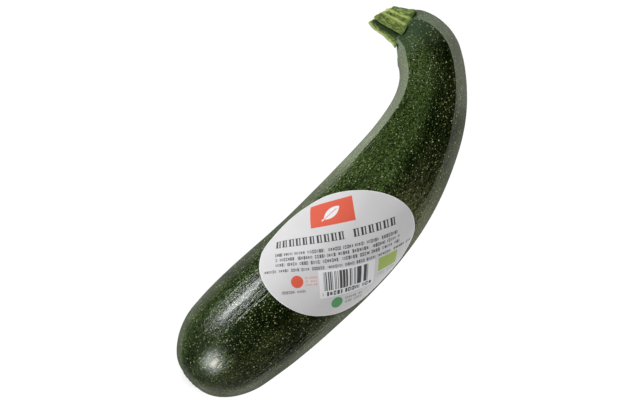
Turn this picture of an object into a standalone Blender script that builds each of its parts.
"""A courgette lying on its side: the whole fruit, its cut stem and the oval label stuck round its belly.

Metres, +Z up. +X runs along the longest extent, with the blossom end at -X and the stem at +X.
The neck bends towards +Y, and the origin is under the middle of the object, on the surface it lies on.
"""

import math

import bmesh
import bpy
import numpy as np

# The fruit. A station is a distance along its axis, from the blossom tip to the stem joint.
AXIS_LENGTH = 0.2232
BELLY_WIDTH = 0.0560
BELLY_STATION = 0.070  # where the fruit is widest
NECK_WIDTH = 0.0330
NECK_POWER = 1.59  # above 1, the body stays wide for longer before it narrows
SHOULDER_LENGTH = 0.0170  # the neck rounds over to the stem joint within this length
SHOULDER_POWER = 1.5
JOINT_WIDTH = 0.0180
BLOSSOM_TAPER = 0.0080  # the half width lost from the belly to the blossom tip
BLOSSOM_TAPER_POWER = 2.8
DOME_LENGTH = 0.025  # the blunt dome that closes the blossom end
DOME_POWER = 1.95
DOME_ROUNDNESS = 0.305

# The bend, in plan: straight from the tip to the bend's start, then turning towards the stem.
FIRST_HEADING = math.radians(-16.2)
BEND_START = 0.0755
BODY_TURN = math.radians(34.8)
BODY_TURN_POWER = 1.2
NECK_TURN = math.radians(74.3)
NECK_TURN_POWER = 5.5

# Five ridges run down from the stem and fade out over the body.
RIDGES = 5
RIDGE_ANGLE = math.radians(25.0)  # the first ridge, from straight up towards the fruit's right
NECK_RIDGE_DEPTH = 0.034
BODY_RIDGE_DEPTH = 0.004
ARCH = 0.0012  # the rise of the underside between its rests at the belly and at the neck
SETTLE = 0.0003  # the depth of underside that the fruit's weight presses flat

# The stem, a ridged stub that is cut across at a slant.
STEM_GAP = 0.0003
STEM_LENGTH = 0.0142
STEM_FLARE = 0.0006  # how much wider the stem's foot is than the joint it sits on
STEM_WIDTH = JOINT_WIDTH + STEM_FLARE
STEM_TIP_WIDTH = 0.0148
STEM_CUT_SLANT = math.radians(28.0)  # its right side is cut shorter than its left
STEM_RIDGE_ANGLE = math.radians(-10.0)
STEM_RIDGE_DEPTH = 0.15

# The label, an ellipse laid on the skin.
LABEL_LENGTH = 0.0792
LABEL_WIDTH = 0.0618
LABEL_STATION = 0.0950
LABEL_ANGLE = math.radians(5.6)  # its centre, from straight up towards the fruit's right
LABEL_TILT = math.radians(39.0)  # its long axis, from the fruit's axis towards the fruit's right
LABEL_GAP = 0.0003
LABEL_THICKNESS = 0.0003

# How finely the shapes are divided.
AXIS_STEPS = 600
FRUIT_SIDES = 48
DOME_RINGS = 12
BODY_RINGS = 36
SHOULDER_RINGS = 9
STEM_SIDES = 40
STEM_RINGS = 8
LABEL_SIDES = 52
LABEL_RINGS = 9


def smooth(value):
    """An S curve from 0 to 1 as the value goes from 0 to 1."""
    value = np.clip(value, 0.0, 1.0)
    return value * value * (3.0 - 2.0 * value)


def along_neck(station):
    """0 at the belly and 1 where the shoulder starts."""
    return np.clip((station - BELLY_STATION) / (AXIS_LENGTH - SHOULDER_LENGTH - BELLY_STATION), 0.0, 1.0)


def half_width(station):
    """The mean radius of the fruit's section at a station."""
    belly, neck, joint = BELLY_WIDTH / 2, NECK_WIDTH / 2, JOINT_WIDTH / 2
    radius = belly + (neck - belly) * smooth(along_neck(station) ** NECK_POWER)
    radius -= BLOSSOM_TAPER * np.clip(1.0 - station / BELLY_STATION, 0.0, 1.0) ** BLOSSOM_TAPER_POWER
    dome = np.clip(1.0 - station / DOME_LENGTH, 0.0, 1.0)
    radius *= (1.0 - dome**DOME_POWER) ** DOME_ROUNDNESS
    shoulder = np.clip((AXIS_LENGTH - station) / SHOULDER_LENGTH, 0.0, 1.0)
    rounding = (1.0 - (1.0 - shoulder) ** SHOULDER_POWER) ** (1.0 / SHOULDER_POWER)
    return joint + (radius - joint) * rounding


def section_radius(station, angle):
    """The section's radius towards an angle, which counts from straight up towards the fruit's right."""
    depth = BODY_RIDGE_DEPTH + (NECK_RIDGE_DEPTH - BODY_RIDGE_DEPTH) * smooth(along_neck(station)) ** 1.5
    return half_width(station) * (1.0 + depth * np.cos(RIDGES * (angle - RIDGE_ANGLE)))


def lower_half_height(station):
    """How far the section reaches below the axis."""
    angles = np.linspace(math.radians(120.0), math.radians(240.0), 121)
    return np.max(-np.cos(angles) * section_radius(station, angles))


def heading(station):
    """The axis's direction in plan."""
    along = np.clip((station - BEND_START) / (AXIS_LENGTH - BEND_START), 0.0, None)
    return FIRST_HEADING + BODY_TURN * along**BODY_TURN_POWER + NECK_TURN * along**NECK_TURN_POWER


def axis_table():
    """Stations, and the axis's points at them: the underside rests at the belly and at the neck."""
    stations = np.linspace(0.0, AXIS_LENGTH, AXIS_STEPS + 1)
    step = stations[1]
    middles = heading(stations[:-1] + step / 2)
    plan = np.zeros((AXIS_STEPS + 1, 2))
    plan[1:, 0] = np.cumsum(np.cos(middles)) * step
    plan[1:, 1] = np.cumsum(np.sin(middles)) * step
    rests = np.clip(stations, BELLY_STATION, AXIS_LENGTH - SHOULDER_LENGTH)
    heights = np.array([lower_half_height(station) for station in rests])
    heights += ARCH * np.sin(math.pi * along_neck(stations)) ** 2
    return stations, np.column_stack((plan, heights - SETTLE))


STATIONS, AXIS = axis_table()
DIRECTIONS = np.gradient(AXIS, STATIONS, axis=0)


def axis_frame(station):
    """The axis's point at a station, with its direction, the way up and the way to the right."""
    point = np.array([np.interp(station, STATIONS, AXIS[:, k]) for k in range(3)])
    forward = np.array([np.interp(station, STATIONS, DIRECTIONS[:, k]) for k in range(3)])
    forward /= np.linalg.norm(forward)
    right = np.cross(forward, (0.0, 0.0, 1.0))
    right /= np.linalg.norm(right)
    return point, forward, np.cross(right, forward), right


def skin_point(station, angle):
    """The point of the skin at a station and an angle."""
    point, _, up, right = axis_frame(station)
    return point + section_radius(station, angle) * (math.cos(angle) * up + math.sin(angle) * right)


def above_skin(station, angle, distance):
    """The point at a distance outside the skin, square to it."""
    step = 0.0001
    turn = step / half_width(station)
    along = skin_point(station + step, angle) - skin_point(station - step, angle)
    across = skin_point(station, angle + turn) - skin_point(station, angle - turn)
    outward = np.cross(across, along)
    return skin_point(station, angle) + distance * outward / np.linalg.norm(outward)


def add_object(name, shape, root):
    """Makes the bmesh a smooth object of the courgette, with its faces pointing out."""
    mesh = bpy.data.meshes.new(name)
    shape.to_mesh(mesh)
    shape.free()
    mesh.shade_smooth()
    mesh.set_sharp_from_angle(angle=math.radians(40.0))
    made = bpy.data.objects.new(name, mesh)
    bpy.data.collections["courgette"].objects.link(made)
    made.parent = root
    return made


def add_rings(shape, rings):
    """Joins rings of points with bands of faces, and returns the vertices of the first and last ring."""
    rows = [[shape.verts.new(point) for point in ring] for ring in rings]
    for near, far in zip(rows, rows[1:]):
        for k, corner in enumerate(near):
            shape.faces.new((near[k - 1], corner, far[k], far[k - 1]))
    return rows[0], rows[-1]


def add_fan(shape, point, ring):
    """Closes a ring with triangles that meet at a point."""
    middle = shape.verts.new(point)
    for k, corner in enumerate(ring):
        shape.faces.new((middle, corner, ring[k - 1]))


def flatten_underside(shape):
    """Cuts off what lies under the resting surface, and closes each cut with a flat face."""
    everything = [*shape.verts, *shape.edges, *shape.faces]
    bmesh.ops.bisect_plane(shape, geom=everything, plane_no=(0, 0, 1), clear_inner=True)
    bmesh.ops.holes_fill(shape, edges=[edge for edge in shape.edges if edge.is_boundary])


def make_fruit(root):
    """The whole fruit, one piece, lofted from the blossom tip to the face that the stem grows from."""
    quarter = math.pi / 2
    dome = DOME_LENGTH * (1.0 - np.cos(np.linspace(0.0, quarter, DOME_RINGS + 1)[1:]))
    body = np.linspace(DOME_LENGTH, AXIS_LENGTH - SHOULDER_LENGTH, BODY_RINGS + 1)[1:]
    shoulder = body[-1] + SHOULDER_LENGTH * np.sin(np.linspace(0.0, quarter, SHOULDER_RINGS + 1)[1:])
    angles = (np.arange(FRUIT_SIDES) + 0.5) * math.tau / FRUIT_SIDES
    rings = [[skin_point(station, angle) for angle in angles] for station in (*dome, *body, *shoulder)]
    shape = bmesh.new()
    first, last = add_rings(shape, rings)
    add_fan(shape, AXIS[0], first)
    add_fan(shape, AXIS[-1], last)
    flatten_underside(shape)
    bmesh.ops.recalc_face_normals(shape, faces=shape.faces)
    return add_object("fruit", shape, root)


def make_stem(root):
    """The cut stem: five ridges that grow straight on from the fruit's axis and narrow to a slanted cut."""
    start, forward, up, right = axis_frame(AXIS_LENGTH)
    angles = np.arange(STEM_SIDES) * math.tau / STEM_SIDES
    ridges = 1.0 + STEM_RIDGE_DEPTH * np.cos(RIDGES * (angles - STEM_RIDGE_ANGLE))
    rings = []
    for t in np.linspace(0.0, 1.0, STEM_RINGS + 1):
        radii = (STEM_WIDTH + (STEM_TIP_WIDTH - STEM_WIDTH) * t) / 2 * ridges / (1.0 + STEM_RIDGE_DEPTH)
        ups, rights = radii * np.cos(angles), radii * np.sin(angles)
        aheads = STEM_GAP + STEM_LENGTH * t - math.tan(STEM_CUT_SLANT) * rights * t**2
        rings.append(start + np.outer(aheads, forward) + np.outer(ups, up) + np.outer(rights, right))
    shape = bmesh.new()
    first, last = add_rings(shape, rings)
    add_fan(shape, np.mean(rings[0], axis=0), first)
    add_fan(shape, np.mean(rings[-1], axis=0), last)
    bmesh.ops.recalc_face_normals(shape, faces=shape.faces)
    return add_object("stem", shape, root)


def label_point(long_offset, short_offset):
    """The point of the label's inner face at offsets along its long and short axes."""
    along = long_offset * math.cos(LABEL_TILT) - short_offset * math.sin(LABEL_TILT)
    across = long_offset * math.sin(LABEL_TILT) + short_offset * math.cos(LABEL_TILT)
    angle = LABEL_ANGLE + across / half_width(LABEL_STATION)
    return above_skin(LABEL_STATION + along, angle, LABEL_GAP)


def make_label(root):
    """The label: a sheet that follows the skin, thickened outwards."""
    angles = np.arange(LABEL_SIDES) * math.tau / LABEL_SIDES
    rings = [
        [label_point(LABEL_LENGTH / 2 * r * math.cos(a), LABEL_WIDTH / 2 * r * math.sin(a)) for a in angles]
        for r in np.linspace(0.0, 1.0, LABEL_RINGS + 1)[1:]
    ]
    shape = bmesh.new()
    first, _ = add_rings(shape, rings)
    add_fan(shape, label_point(0.0, 0.0), first)
    bmesh.ops.recalc_face_normals(shape, faces=shape.faces)
    shape.faces.ensure_lookup_table()
    if shape.faces[0].normal.z < 0.0:
        bmesh.ops.reverse_faces(shape, faces=shape.faces)
    label = add_object("label", shape, root)
    thicken = label.modifiers.new("thickness", "SOLIDIFY")
    thicken.thickness = LABEL_THICKNESS
    thicken.offset = 1.0
    return label


def give_material(made, name, colour, roughness):
    """A Principled material of one colour and roughness."""
    material = bpy.data.materials.new(name)
    material.use_nodes = True
    shader = material.node_tree.nodes["Principled BSDF"]
    shader.inputs["Base Color"].default_value = (*colour, 1.0)
    shader.inputs["Roughness"].default_value = roughness
    shader.inputs["Metallic"].default_value = 0.0
    made.data.materials.append(material)


def centre_on_origin(root, pieces):
    """Moves the courgette so that the middle of its plan box is over the origin."""
    bpy.context.view_layer.update()
    corners = np.array([vertex.co[:2] for piece in pieces for vertex in piece.data.vertices])
    middle = (corners.min(axis=0) + corners.max(axis=0)) / 2
    root.location = (-middle[0], -middle[1], 0.0)


def main():
    for old in list(bpy.data.objects):
        bpy.data.objects.remove(old)
    collection = bpy.data.collections.new("courgette")
    bpy.context.scene.collection.children.link(collection)
    root = bpy.data.objects.new("courgette_axis", None)
    collection.objects.link(root)
    fruit, stem, label = make_fruit(root), make_stem(root), make_label(root)
    give_material(fruit, "dark_green_skin", (0.022, 0.036, 0.009), 0.38)
    give_material(stem, "pale_green_stem", (0.21, 0.28, 0.055), 0.55)
    give_material(label, "label_paper", (0.60, 0.59, 0.61), 0.45)
    centre_on_origin(root, (fruit, stem, label))


main()
